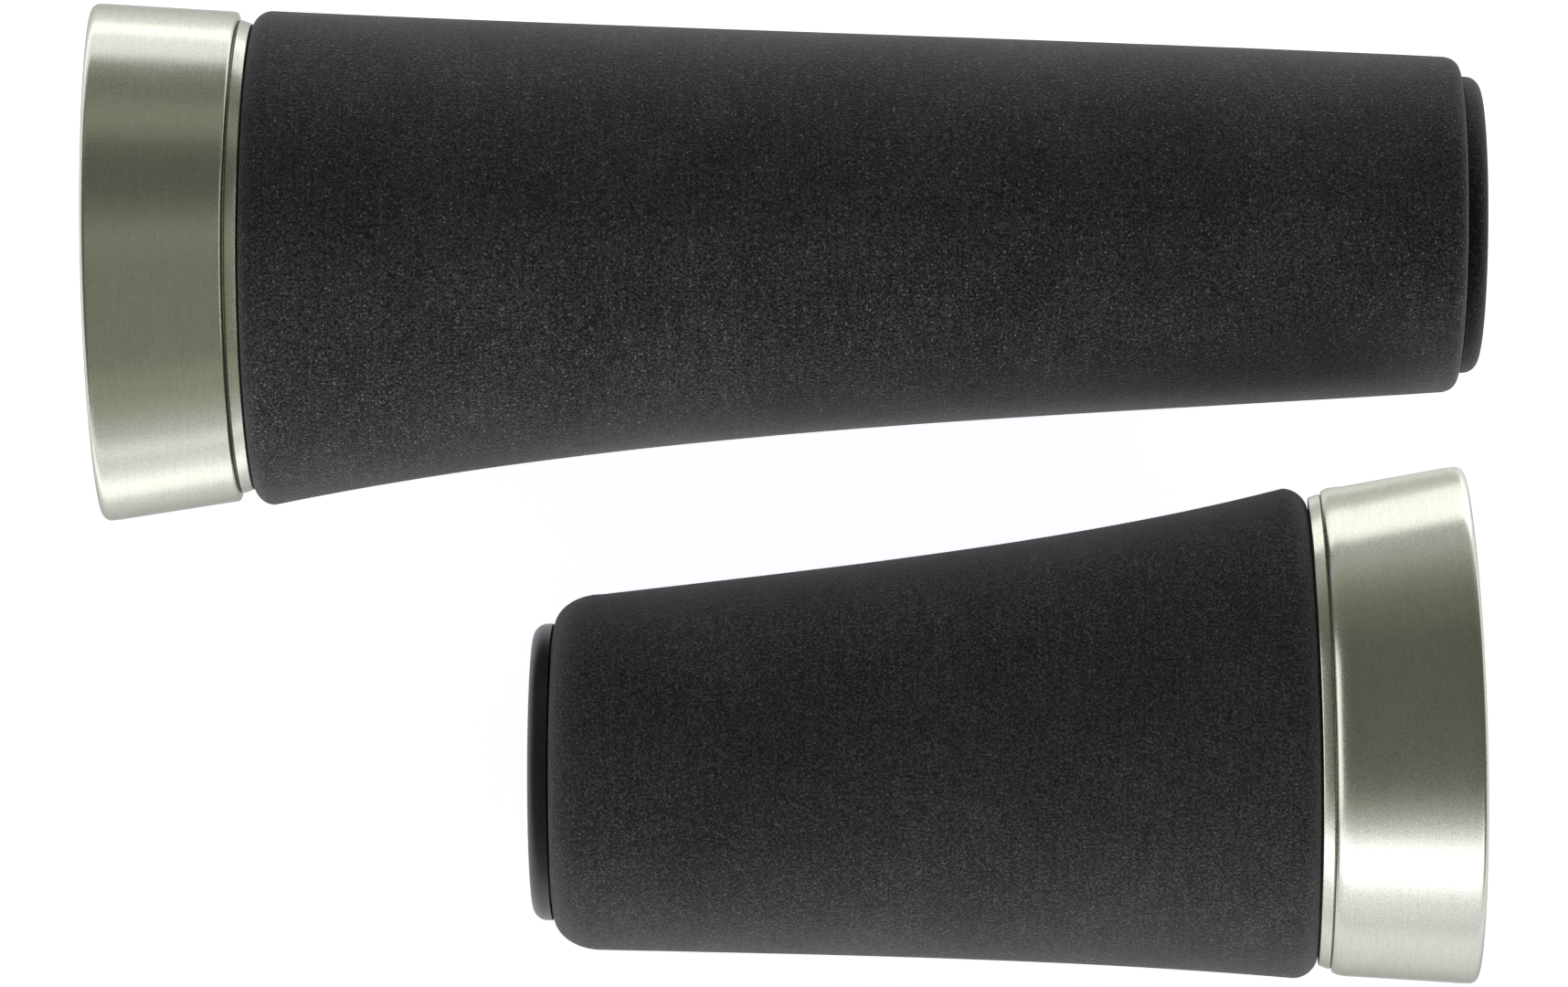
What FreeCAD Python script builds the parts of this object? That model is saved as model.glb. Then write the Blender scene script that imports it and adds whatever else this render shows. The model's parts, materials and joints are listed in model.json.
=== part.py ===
"""A pair of bicycle handlebar grips: a long left one and a short right one, lying side by side.

Each grip is a rubber palm grip on a nylon core, closed by an oval metal ring at its outboard end.
Every piece is drawn along its own bar axis: X runs outboard from the inboard face, +Y is the palm
wing, Z is the thickness.  The Placement then lays the grip down with its ring end on the surface.
"""
import FreeCAD
import Part
import math
import os
import Sketcher
from FreeCAD import Rotation, Vector

SIZES = [
    # the handlebar's bore and the core sleeve
    ("bar_bore_r", 11.15, "bore for a 22.2 mm bar"),
    ("relief_step", 0.45, "relief beyond the fitted stretch, over the bore"),
    ("core_wall", 2.05, "core tube, at the bore"),
    ("flange_lip", 1.3, "inboard flange, beyond the core tube"),
    ("flange_t", 1.9, "inboard flange"),
    ("flange_round", 1.4, "outer edge of the flange"),
    ("key_w", 3.0, "keys that stop the rubber turning"),
    ("key_high", 0.6, "keys, above the tube"),
    ("key_root", 1.0, "keys, sunk into the tube"),
    ("head_t", 4.5, "oval plate inside the rubber's end"),
    ("head_inset", 3.2, "oval plate, inside the rubber's outline"),
    ("fit_gap", 0.05, "rubber to core"),
    ("seam", 0.2, "between flange and rubber"),
    # rubber, shared by both grips
    ("inner_round", 2.4, "rubber edge at the flange"),
    ("shoulder_round", 1.6, "rubber edge at the ring"),
    ("ring_gap", 0.4, "shadow gap between rubber and ring"),
    ("end_high_t", 6.4, "rubber over the core at the ring, above and below"),
    # left grip, full length; thicknesses are the rubber over the core
    ("left_rubber_len", 117.8, "rubber length"),
    ("left_fit_len", 76.0, "fitted stretch of the bore"),
    ("left_root_t", 3.25, "all round at the flange"),
    ("left_wing_t1", 5.8, "wing side at the first station"),
    ("left_wing_t2", 8.2, "wing side at the second station"),
    ("left_wing_t3", 11.35, "wing side at the third station"),
    ("left_wing_t4", 15.0, "wing side at the ring"),
    ("left_front_t1", 4.5, "finger side at the first station"),
    ("left_front_t2", 5.3, "finger side at the second station"),
    ("left_front_t3", 6.0, "finger side at the third station"),
    ("left_front_t4", 6.75, "finger side at the ring"),
    # right grip, shortened for a twist shifter
    ("right_rubber_len", 74.4, "rubber length"),
    ("right_fit_len", 34.0, "fitted stretch of the bore"),
    ("right_root_t", 4.2, "all round at the flange"),
    ("right_wing_t1", 6.85, "wing side at the first station"),
    ("right_wing_t2", 9.3, "wing side at the second station"),
    ("right_wing_t3", 11.8, "wing side at the third station"),
    ("right_wing_t4", 14.5, "wing side at the ring"),
    ("right_front_t1", 4.65, "finger side at the first station"),
    ("right_front_t2", 5.2, "finger side at the second station"),
    ("right_front_t3", 6.0, "finger side at the third station"),
    ("right_front_t4", 6.85, "finger side at the ring"),
    # end ring and its backing plate; reaches are measured from the core tube
    ("band_t", 1.3, "backing ring"),
    ("band_drop", 0.7, "backing ring below the end ring"),
    ("ring_len", 13.8, "end ring on the bar axis"),
    ("ring_wing_in_t", 14.7, "inner edge, wing side"),
    ("ring_front_in_t", 6.7, "inner edge, finger side"),
    ("ring_high_in_t", 6.3, "inner edge, above and below"),
    ("ring_wing_flare", 2.0, "mouth beyond the inner edge, wing side"),
    ("ring_flare", 0.7, "mouth beyond the inner edge, elsewhere"),
    ("ring_slant", 1.2, "degrees, mouth plane, wing side shorter"),
    ("ring_wall", 1.8, "wall at the inner edge"),
    ("ring_round", 1.8, "outer edge of the mouth"),
    ("ring_inner_round", 0.8, "edge beside the backing ring"),
    ("web_t", 3.0, "end ring's web, the bar's stop"),
    # screws through the web
    ("screw_r", 1.5, "M3 thread"),
    ("screw_len", 8.0, "under the head"),
    ("screw_hole_r", 1.7, "clearance hole"),
    ("screw_head_r", 2.75, "low head"),
    ("screw_head_high", 2.0, "low head"),
    ("screw_key_flats", 2.0, "hexagon socket, across flats"),
    ("screw_key_deep", 1.3, "hexagon socket"),
    ("screw_near", 0.8, "three screws, beyond the core tube"),
    ("screw_far", 4.8, "wing side screw, beyond the core tube"),
    ("screw_side_y", 4.0, "upper and lower screw, towards the wing"),
    # expander inside the bar
    ("bolt_r", 2.5, "M5 thread"),
    ("bolt_len", 32.0, "under the head"),
    ("bolt_hole_gap", 0.25, "bolt to its hole in the web"),
    ("bolt_head_r", 4.25, "cap head"),
    ("bolt_head_high", 5.0, "cap head"),
    ("bolt_head_round", 0.4, "cap head"),
    ("bolt_key_flats", 4.0, "hexagon socket, across flats"),
    ("bolt_key_deep", 2.5, "hexagon socket"),
    ("washer_r", 6.0, "under the bolt head"),
    ("washer_t", 1.0, "under the bolt head"),
    ("thread_gap", 0.06, "running thread of the cone nut"),
    ("collet_inset", 2.45, "collet inside the bore: the bar's wall and a clearance"),
    ("collet_len", 17.0, "collet"),
    ("collet_bolt_gap", 0.9, "collet to the bolt"),
    ("collet_jaw_t", 1.5, "jaws at the collet's mouth"),
    ("collet_cone_len", 13.0, "collet cone"),
    ("slot_w", 1.8, "collet slots"),
    ("slot_len", 12.0, "collet slots"),
    ("nut_len", 12.0, "cone nut"),
    ("nut_gap", 0.12, "nut cone to collet cone, drawn up"),
    ("nut_travel", 2.4, "three turns of the bolt"),
    ("nut_ear_gap", 0.2, "ears to the slots' sides"),
    ("nut_ear_inset", 0.5, "ears below the collet's outside"),
    ("nut_ear_root", 1.5, "ears, sunk into the cone from the bolt's thread"),
    ("nut_ear_len", 5.0, "ears"),
    # end cover
    ("cover_gap", 0.15, "cover to ring wall"),
    ("cover_sunk", 0.9, "cover face below the mouth"),
    ("cover_t", 1.8, "cover face"),
    ("cover_round", 0.8, "edge of the cover face"),
    ("skirt_len", 3.2, "cover skirt"),
    ("skirt_wall", 1.3, "cover skirt"),
    ("skirt_step", 0.25, "cover skirt inside the cover's edge"),
    ("skirt_lap", 0.6, "cover skirt, run up into the face"),
    ("notch_r", 1.6, "thumbnail notch in the cover"),
    ("notch_deep", 0.6, "thumbnail notch in the cover"),
    # where the two grips lie
    ("left_axis_y", 26.28, "left bar axis, behind"),
    ("right_axis_y", -27.22, "right bar axis, in front"),
    ("ring_face_x", 67.5, "both mouths, left and right of the middle"),
    ("left_turn", 179.6, "degrees, left grip about the vertical"),
    ("right_turn", 0.0, "degrees, right grip about the vertical"),
]

# Sizes that follow from others, so that a change of bore or wall carries everything over it along.
FOLLOWING = [
    ("relief_r", "bar_bore_r + relief_step"),
    ("core_r", "bar_bore_r + core_wall"),
    ("flange_r", "core_r + flange_lip"),
    ("rubber_high_end", "core_r + end_high_t"),
    ("ring_wing_in", "core_r + ring_wing_in_t"),
    ("ring_front_in", "core_r + ring_front_in_t"),
    ("ring_high_in", "core_r + ring_high_in_t"),
    ("ring_wing_out", "ring_wing_in + ring_wing_flare"),
    ("ring_front_out", "ring_front_in + ring_flare"),
    ("ring_high_out", "ring_high_in + ring_flare"),
    ("bolt_hole_r", "bolt_r + bolt_hole_gap"),
    ("collet_r", "bar_bore_r - collet_inset"),
    ("collet_bore_r", "bolt_r + collet_bolt_gap"),
    ("collet_mouth_r", "collet_r - collet_jaw_t"),
    ("nut_ear_w", "slot_w - 2 * nut_ear_gap"),
    ("nut_ear_in", "bolt_r + nut_ear_root"),
    ("nut_ear_out", "collet_r - nut_ear_inset"),
]

SIDES = ("left", "right")
STATIONS = (0.35, 0.6, 0.8)
KEY_COUNT = 4
SLOT_COUNT = 4
RIM_ANGLES = (0, 20, 45, 70, 90)
EDGE_REACH = 0.6
OVERCUT = 2

for side in SIDES:
    FOLLOWING.append(("%s_root_r" % side, "core_r + %s_root_t" % side))
    for number in range(1, len(STATIONS) + 2):
        for edge in ("wing", "front"):
            name = "%s_%s_%d" % (side, edge, number)
            FOLLOWING.append((name, "core_r + %s_%s_t%d" % (side, edge, number)))

doc = FreeCAD.newDocument("bar_end_grips")
sheet = doc.addObject("Spreadsheet::Sheet", "dims")
for row, (alias, value, note) in enumerate(SIZES, start=1):
    sheet.set("A%d" % row, note)
    sheet.set("B%d" % row, str(value))
    sheet.setAlias("B%d" % row, alias)
for row, (alias, formula) in enumerate(FOLLOWING, start=len(SIZES) + 1):
    sheet.set("A%d" % row, "follows")
    sheet.set("B%d" % row, "=" + formula)
    sheet.setAlias("B%d" % row, alias)
doc.recompute()


def sheet_value(expression):
    value = sheet.evalExpression(expression)
    return float(getattr(value, "Value", value))


class Reach:
    """Expressions for the stations along one grip's axis."""

    def __init__(self, side):
        self.rubber = "(dims.flange_t + dims.seam)"
        self.rubber_end = "(%s + dims.%s_rubber_len)" % (self.rubber, side)
        self.band = "(%s + dims.ring_gap)" % self.rubber_end
        self.web = "(%s + dims.band_t)" % self.band
        self.web_out = "(%s + dims.web_t)" % self.web
        self.mouth = "(%s + dims.ring_len)" % self.web


def lying(side, at):
    """Placement that lays a grip down, touching at the rubber's inner edge and at the ring."""
    toe_x = "(%s + dims.inner_round)" % at.rubber
    toe_high = "dims.%s_root_r" % side
    heel_x = "(%s - dims.ring_round)" % at.mouth
    heel_high = "dims.ring_high_out"
    tilt = "atan((%s - %s) / (%s - %s))" % (heel_high, toe_high, heel_x, toe_x)
    axis_high = "(%s - %s * tan(%s)) * cos(%s)" % (toe_high, toe_x, tilt, tilt)
    inward = "1" if side == "left" else "-1"
    back = "%s * %s * cos(%s)" % (inward, at.mouth, tilt)
    mouth_x = "-dims.ring_face_x" if side == "left" else "dims.ring_face_x"
    spot = "create(<<vector>>; %s + %s; dims.%s_axis_y; %s)" % (mouth_x, back, side, axis_high)
    turn = "create(<<rotation>>; create(<<vector>>; 0; 0; 1); dims.%s_turn)" % side
    lift = "create(<<rotation>>; create(<<vector>>; 0; 1; 0); -%s)" % tilt
    return "create(<<placement>>; %s; %s * %s)" % (spot, turn, lift)


def new_body(label, placement):
    body = doc.addObject("PartDesign::Body", label)
    body.Label = label
    body.setExpression("Placement", placement)
    return body


def add(body, kind, name):
    """A new feature whose name starts with its body's, so that no two are alike."""
    return body.newObject(kind, "%s_%s" % (body.Label, name))


def origin_item(body, role):
    return next(item for item in body.Origin.OriginFeatures if item.Role == role)


def attach(feature, body, x, y="0", z="0"):
    """Put a feature on the body's YZ plane: its own z runs along the bar axis."""
    feature.AttachmentSupport = (origin_item(body, "YZ_Plane"), [""])
    feature.MapMode = "FlatFace"
    feature.setExpression("AttachmentOffset.Base.x", y)
    feature.setExpression("AttachmentOffset.Base.y", z)
    feature.setExpression("AttachmentOffset.Base.z", x)


def cylinder(body, name, x, radius, length, cut=False, y="0", z="0"):
    kind = "PartDesign::SubtractiveCylinder" if cut else "PartDesign::AdditiveCylinder"
    feature = add(body, kind, name)
    attach(feature, body, x, y, z)
    feature.setExpression("Radius", radius)
    feature.setExpression("Height", length)
    return feature


def cone(body, name, x, radius_in, radius_out, length, cut=False):
    kind = "PartDesign::SubtractiveCone" if cut else "PartDesign::AdditiveCone"
    feature = add(body, kind, name)
    attach(feature, body, x)
    feature.setExpression("Radius1", radius_in)
    feature.setExpression("Radius2", radius_out)
    feature.setExpression("Height", length)
    return feature


def hex_socket(body, name, x, flats, depth, y="0", z="0"):
    feature = add(body, "PartDesign::SubtractivePrism", name)
    attach(feature, body, x, y, z)
    feature.Polygon = 6
    feature.setExpression("Circumradius", "%s / sqrt(3)" % flats)
    feature.setExpression("Height", depth)
    return feature


def radial_bars(body, name, x, inner, outer, width, length, count, cut=False):
    """Straight bars around the axis: keys, key slots, collet slots and nut ears."""
    kind = "PartDesign::SubtractiveBox" if cut else "PartDesign::AdditiveBox"
    bar = add(body, kind, name)
    attach(bar, body, x, inner, "-%s / 2" % width)
    bar.setExpression("Length", "%s - %s" % (outer, inner))
    bar.setExpression("Width", width)
    bar.setExpression("Height", length)
    ring = add(body, "PartDesign::PolarPattern", name + "_around")
    ring.Originals = [bar]
    ring.Axis = (origin_item(body, "X_Axis"), [""])
    ring.Angle = 360
    ring.Occurrences = count
    body.Tip = ring
    return ring


def oval(body, name, x, wing, front, high, slant="0"):
    """Ellipse that reaches `wing` on the palm side and `front` on the finger side of the axis."""
    sketch = add(body, "Sketcher::SketchObject", name)
    sketch.AttachmentSupport = (origin_item(body, "YZ_Plane"), [""])
    sketch.MapMode = "FlatFace"
    sketch.AttachmentOffset = FreeCAD.Placement(Vector(), Rotation(Vector(0, 1, 0), 1))
    sketch.setExpression("AttachmentOffset.Base.z", x)
    sketch.setExpression("AttachmentOffset.Rotation.Angle", slant)
    wing_now = sheet_value(wing)
    front_now = sheet_value(front)
    high_now = sheet_value(high)
    middle = (wing_now - front_now) / 2
    curve = Part.Ellipse(Vector(wing_now, 0, 0), Vector(middle, high_now, 0), Vector(middle, 0, 0))
    sketch.addGeometry(curve, False)
    sketch.exposeInternalGeometry(0)
    sketch.addConstraint(Sketcher.Constraint("PointOnObject", 1, 1, -1))
    sketch.addConstraint(Sketcher.Constraint("PointOnObject", 1, 2, -1))
    reach = sketch.addConstraint(Sketcher.Constraint("DistanceX", -1, 1, 1, 1, wing_now))
    back = sketch.addConstraint(Sketcher.Constraint("DistanceX", 1, 2, -1, 1, front_now))
    tall = sketch.addConstraint(Sketcher.Constraint("Distance", 2, 2 * high_now))
    sketch.renameConstraint(reach, "wing")
    sketch.renameConstraint(back, "front")
    sketch.renameConstraint(tall, "height")
    sketch.setExpression("Constraints.wing", wing)
    sketch.setExpression("Constraints.front", front)
    sketch.setExpression("Constraints.height", "2 * (%s)" % high)
    return sketch


def pad(body, name, sketch, length):
    feature = add(body, "PartDesign::Pad", name)
    feature.Profile = sketch
    feature.setExpression("Length", length)
    return feature


def pocket(body, name, sketch, length):
    """Cut towards the inboard end from the sketch."""
    feature = add(body, "PartDesign::Pocket", name)
    feature.Profile = sketch
    feature.setExpression("Length", length)
    return feature


def loft(body, name, sketches, ruled=False):
    feature = add(body, "PartDesign::AdditiveLoft", name)
    feature.Profile = sketches[0]
    feature.Sections = sketches[1:]
    feature.Ruled = ruled
    return feature


def rim(body, name, x, radius, outline, inward, slant="0"):
    """Outlines of a quarter-round rim, which shrink by the radius as they reach the end face at x."""
    sections = []
    for angle in RIM_ANGLES:
        inset = 1 - math.sin(math.radians(angle))
        setback = inward * (1 - math.cos(math.radians(angle)))
        sizes = ["%s - %.4f * %s" % (size, inset, radius) for size in outline]
        station = "%s + %.4f * %s" % (x, setback, radius)
        sections.append(oval(body, "%s_%d" % (name, angle), station, *sizes, slant))
    return sections


def round_edge(body, name, base, x, radius):
    """Fillet the outermost closed edge whose middle lies at station x."""
    doc.recompute()
    target = sheet_value(x)
    best = None
    for index, edge in enumerate(base.Shape.Edges, start=1):
        box = edge.BoundBox
        off = abs(edge.CenterOfMass.x - target)
        if not edge.isClosed() or off > EDGE_REACH:
            continue
        if best is None or box.DiagonalLength > best[0]:
            best = (box.DiagonalLength, "Edge%d" % index)
    feature = add(body, "PartDesign::Fillet", name)
    feature.Base = (base, [best[1]])
    feature.setExpression("Radius", radius)
    return feature


def screw_places():
    near = "(dims.core_r + dims.screw_near)"
    return [
        ("front", "-" + near, "0"),
        ("upper", "dims.screw_side_y", near),
        ("lower", "dims.screw_side_y", "-" + near),
        ("wing", "(dims.core_r + dims.screw_far)", "0"),
    ]


def rubber_outline(side, share, number):
    """Wing, finger side and half thickness of the rubber at a share of its length."""
    root = "dims.%s_root_r" % side
    high = "%s + (dims.rubber_high_end - %s) * %s" % (root, root, share)
    return ("dims.%s_wing_%d" % (side, number), "dims.%s_front_%d" % (side, number), high)


def make_core_sleeve(side, at, placement):
    body = new_body(side + "_core_sleeve", placement)
    cylinder(body, "tube", "0", "dims.core_r", at.band)
    flange = cylinder(body, "flange", "0", "dims.flange_r", "dims.flange_t")
    round_edge(body, "flange_edge", flange, "0", "dims.flange_round")
    head_start = "%s - dims.head_t" % at.rubber_end
    key_len = "%s - %s" % (head_start, at.rubber)
    radial_bars(body, "key", at.rubber, "(dims.core_r - dims.key_root)",
                "(dims.core_r + dims.key_high)", "dims.key_w", key_len, KEY_COUNT)
    wing = "dims.%s_wing_4 - dims.head_inset" % side
    front = "dims.%s_front_4 - dims.head_inset" % side
    high = "dims.rubber_high_end - dims.head_inset"
    plate = oval(body, "head_outline", head_start, wing, front, high)
    pad(body, "head", plate, "dims.head_t + dims.ring_gap")
    fit = "dims.%s_fit_len" % side
    cylinder(body, "bar_bore", "0", "dims.bar_bore_r", fit, cut=True)
    cylinder(body, "relief", fit, "dims.relief_r", "%s - %s" % (at.band, fit), cut=True)
    for name, y, z in screw_places():
        hole_len = "dims.screw_len - dims.web_t - dims.band_t"
        start = "%s - (%s)" % (at.band, hole_len)
        cylinder(body, "pilot_" + name, start, "dims.screw_r", hole_len, cut=True, y=y, z=z)


def make_grip_body(side, at, placement):
    body = new_body(side + "_grip_body", placement)
    root = "dims.%s_root_r" % side
    length = "dims.%s_rubber_len" % side
    root_outline = (root, root, root)
    end_outline = rubber_outline(side, 1, len(STATIONS) + 1)
    sections = [oval(body, "root_outline", "%s + dims.inner_round" % at.rubber, *root_outline)]
    for number, share in enumerate(STATIONS, start=1):
        outline = rubber_outline(side, share, number)
        x = "%s + %s * %s" % (at.rubber, length, share)
        sections.append(oval(body, "outline_%d" % number, x, *outline))
    end_x = "%s - dims.shoulder_round" % at.rubber_end
    sections.append(oval(body, "end_outline", end_x, *end_outline))
    loft(body, "shell", sections)
    inner_edge = rim(body, "inner_edge", at.rubber, "dims.inner_round", root_outline, 1)
    loft(body, "inner_edge", inner_edge, ruled=True)
    shoulder = rim(body, "shoulder", at.rubber_end, "dims.shoulder_round", end_outline, -1)
    loft(body, "shoulder", shoulder, ruled=True)
    cylinder(body, "core_bore", "0", "dims.core_r + dims.fit_gap", at.mouth, cut=True)
    head_start = "(%s - dims.head_t)" % at.rubber_end
    key_len = "%s - %s" % (head_start, at.rubber)
    radial_bars(body, "key_slot", at.rubber, "(dims.core_r - dims.key_root)",
                "(dims.core_r + dims.key_high + dims.fit_gap)", "(dims.key_w + 2 * dims.fit_gap)",
                key_len, KEY_COUNT, cut=True)
    wing = "dims.%s_wing_4 - dims.head_inset + dims.fit_gap" % side
    front = "dims.%s_front_4 - dims.head_inset + dims.fit_gap" % side
    high = "dims.rubber_high_end - dims.head_inset + dims.fit_gap"
    hole = oval(body, "head_seat_outline", at.rubber_end, wing, front, high)
    pocket(body, "head_seat", hole, "dims.head_t + dims.fit_gap")


def make_backing_ring(side, at, placement):
    body = new_body(side + "_backing_ring", placement)
    plate = oval(body, "outline", at.band, "dims.ring_wing_in - dims.band_drop",
                 "dims.ring_front_in - dims.band_drop", "dims.ring_high_in - dims.band_drop")
    pad(body, "plate", plate, "dims.band_t")
    cylinder(body, "bar_hole", at.band, "dims.relief_r", "dims.band_t", cut=True)
    for name, y, z in screw_places():
        cylinder(body, "hole_" + name, at.band, "dims.screw_hole_r", "dims.band_t", cut=True, y=y, z=z)


def recess_outline(gap):
    return ("dims.ring_wing_in - dims.ring_wall - %s" % gap,
            "dims.ring_front_in - dims.ring_wall - %s" % gap,
            "dims.ring_high_in - dims.ring_wall - %s" % gap)


def make_end_ring(side, at, placement):
    body = new_body(side + "_end_ring", placement)
    inner_outline = ("dims.ring_wing_in", "dims.ring_front_in", "dims.ring_high_in")
    mouth_outline = ("dims.ring_wing_out", "dims.ring_front_out", "dims.ring_high_out")
    inner = rim(body, "inner", at.web, "dims.ring_inner_round", inner_outline, 1)
    mouth = rim(body, "mouth", at.mouth, "dims.ring_round", mouth_outline, -1, "dims.ring_slant")
    loft(body, "band", inner + mouth[::-1], ruled=True)
    outline = oval(body, "recess_outline", "%s + %d" % (at.mouth, OVERCUT), *recess_outline("0"))
    pocket(body, "recess", outline, "dims.ring_len - dims.web_t + %d" % OVERCUT)
    cylinder(body, "bolt_hole", at.web, "dims.bolt_hole_r", "dims.web_t", cut=True)
    for name, y, z in screw_places():
        cylinder(body, "hole_" + name, at.web, "dims.screw_hole_r", "dims.web_t", cut=True, y=y, z=z)


def make_ring_screws(side, at, placement):
    """Four like screws in one node: each is made where it sits and kept as its own solid."""
    screws = []
    start = "%s - dims.screw_len" % at.web_out
    for name, y, z in screw_places():
        shank = doc.addObject("Part::Cylinder", "%s_%s_shank" % (side, name))
        head = doc.addObject("Part::Cylinder", "%s_%s_head" % (side, name))
        for piece, radius, length, x in (
                (shank, "dims.screw_r", "dims.screw_len", start),
                (head, "dims.screw_head_r", "dims.screw_head_high", at.web_out)):
            piece.setExpression("Radius", radius)
            piece.setExpression("Height", length)
            piece.Placement = FreeCAD.Placement(Vector(), Rotation(Vector(0, 1, 0), 90))
            piece.setExpression("Placement.Base.x", x)
            piece.setExpression("Placement.Base.y", y)
            piece.setExpression("Placement.Base.z", z)
        key = doc.addObject("Part::Prism", "%s_%s_key" % (side, name))
        key.Polygon = 6
        key.setExpression("Circumradius", "dims.screw_key_flats / sqrt(3)")
        key.setExpression("Height", "dims.screw_key_deep + %d" % OVERCUT)
        key.Placement = FreeCAD.Placement(Vector(), Rotation(Vector(0, 1, 0), 90))
        bottom = "%s + dims.screw_head_high - dims.screw_key_deep" % at.web_out
        key.setExpression("Placement.Base.x", bottom)
        key.setExpression("Placement.Base.y", y)
        key.setExpression("Placement.Base.z", z)
        blank = doc.addObject("Part::Fuse", "%s_%s_blank" % (side, name))
        blank.Base = shank
        blank.Tool = head
        screw = doc.addObject("Part::Cut", "%s_%s_screw" % (side, name))
        screw.Base = blank
        screw.Tool = key
        screws.append(screw)
    group = doc.addObject("Part::Compound", side + "_ring_screws")
    group.Label = side + "_ring_screws"
    group.Links = screws
    group.setExpression("Placement", placement)


def make_expander_washer(side, at, placement):
    body = new_body(side + "_expander_washer", placement)
    cylinder(body, "disc", at.web_out, "dims.washer_r", "dims.washer_t")
    cylinder(body, "hole", at.web_out, "dims.bolt_hole_r", "dims.washer_t", cut=True)


def make_expander_bolt(side, at, placement):
    body = new_body(side + "_expander_bolt", placement)
    seat = "(%s + dims.washer_t)" % at.web_out
    cylinder(body, "shank", "%s - dims.bolt_len" % seat, "dims.bolt_r", "dims.bolt_len")
    head = cylinder(body, "head", seat, "dims.bolt_head_r", "dims.bolt_head_high")
    top = "%s + dims.bolt_head_high" % seat
    round_edge(body, "head_edge", head, top, "dims.bolt_head_round")
    hex_socket(body, "key", "%s - dims.bolt_key_deep" % top, "dims.bolt_key_flats", "dims.bolt_key_deep")


def make_expander_collet(side, at, placement):
    body = new_body(side + "_expander_collet", placement)
    mouth = "(%s - dims.collet_len)" % at.web
    cylinder(body, "barrel", mouth, "dims.collet_r", "dims.collet_len")
    cylinder(body, "bolt_way", mouth, "dims.collet_bore_r", "dims.collet_len", cut=True)
    cone(body, "seat", mouth, "dims.collet_mouth_r", "dims.collet_bore_r", "dims.collet_cone_len",
         cut=True)
    radial_bars(body, "slot", mouth, "dims.bolt_r", "(dims.collet_r + %d)" % OVERCUT, "dims.slot_w",
                "dims.slot_len", SLOT_COUNT, cut=True)


def make_expander_nut(side, at, placement):
    body = new_body(side + "_expander_nut", placement)
    mouth = "(%s - dims.collet_len)" % at.web
    slope = "((dims.collet_mouth_r - dims.collet_bore_r) / dims.collet_cone_len)"
    ear = "dims.nut_ear_len"
    small_end = "(%s + dims.nut_len - %s - dims.nut_travel)" % (mouth, ear)
    start = "(%s - dims.nut_len)" % small_end
    big_r = "(dims.collet_mouth_r - dims.nut_gap)"
    small_r = "(%s - %s * (dims.nut_len - %s))" % (big_r, slope, ear)
    cylinder(body, "barrel", start, big_r, ear)
    cone(body, "cone", "%s + %s" % (start, ear), big_r, small_r, "dims.nut_len - %s" % ear)
    radial_bars(body, "ear", "%s + %s" % (start, ear), "dims.nut_ear_in", "dims.nut_ear_out",
                "dims.nut_ear_w", ear, SLOT_COUNT)
    cylinder(body, "thread", start, "dims.bolt_r + dims.thread_gap", "dims.nut_len", cut=True)


def make_end_cover(side, at, placement):
    body = new_body(side + "_end_cover", placement)
    face_x = "(%s - dims.cover_sunk)" % at.mouth
    back = oval(body, "back_outline", "%s - dims.cover_t" % face_x, *recess_outline("dims.cover_gap"),
                "dims.ring_slant")
    face = rim(body, "face", face_x, "dims.cover_round", recess_outline("dims.cover_gap"), -1,
               "dims.ring_slant")
    loft(body, "plate", [back] + face[::-1], ruled=True)
    skirt_x = "(%s - dims.cover_t - dims.skirt_len)" % face_x
    outer = oval(body, "skirt_outline", skirt_x, *recess_outline("(dims.cover_gap + dims.skirt_step)"))
    pad(body, "skirt", outer, "dims.skirt_len + dims.skirt_lap")
    inner = oval(body, "hollow_outline", "%s - dims.cover_t" % face_x,
                 *recess_outline("(dims.cover_gap + dims.skirt_wall)"), "dims.ring_slant")
    pocket(body, "hollow", inner, "dims.skirt_len + %d" % OVERCUT)
    cylinder(body, "notch", "%s - dims.notch_deep" % face_x, "dims.notch_r",
             "dims.notch_deep + %d" % OVERCUT, cut=True,
             y="dims.ring_wing_in - dims.ring_wall - dims.cover_gap")


MAKERS = {
    "core_sleeve": make_core_sleeve,
    "grip_body": make_grip_body,
    "backing_ring": make_backing_ring,
    "end_ring": make_end_ring,
    "ring_screws": make_ring_screws,
    "expander_washer": make_expander_washer,
    "expander_bolt": make_expander_bolt,
    "expander_collet": make_expander_collet,
    "expander_nut": make_expander_nut,
    "end_cover": make_end_cover,
}

for side in SIDES:
    reach = Reach(side)
    laid = lying(side, reach)
    for make in MAKERS.values():
        make(side, reach, laid)
        doc.recompute()
doc.recompute()

for item in doc.Objects:
    faults = [state for state in item.State if state in ("Invalid", "Error")]
    if faults:
        raise RuntimeError("%s: %s" % (item.Label, faults))

os.makedirs("parts", exist_ok=True)
for side in SIDES:
    for piece in MAKERS:
        node = "%s_%s" % (side, piece)
        shape = doc.getObject(node).Shape
        if shape.isNull() or not shape.isValid():
            raise RuntimeError(node + " has no sound shape")
        shape.exportStep("parts/%s.step" % node)
        print("%-24s %9.1f mm3  %d solid(s)" % (node, shape.Volume, len(shape.Solids)))
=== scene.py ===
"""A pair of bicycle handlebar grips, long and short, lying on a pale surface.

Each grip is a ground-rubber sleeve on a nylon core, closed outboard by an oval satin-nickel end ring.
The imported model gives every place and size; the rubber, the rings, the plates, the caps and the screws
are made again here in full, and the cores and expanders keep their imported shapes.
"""

import json
import math

import bmesh
import bpy
from mathutils import Matrix, Vector

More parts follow.
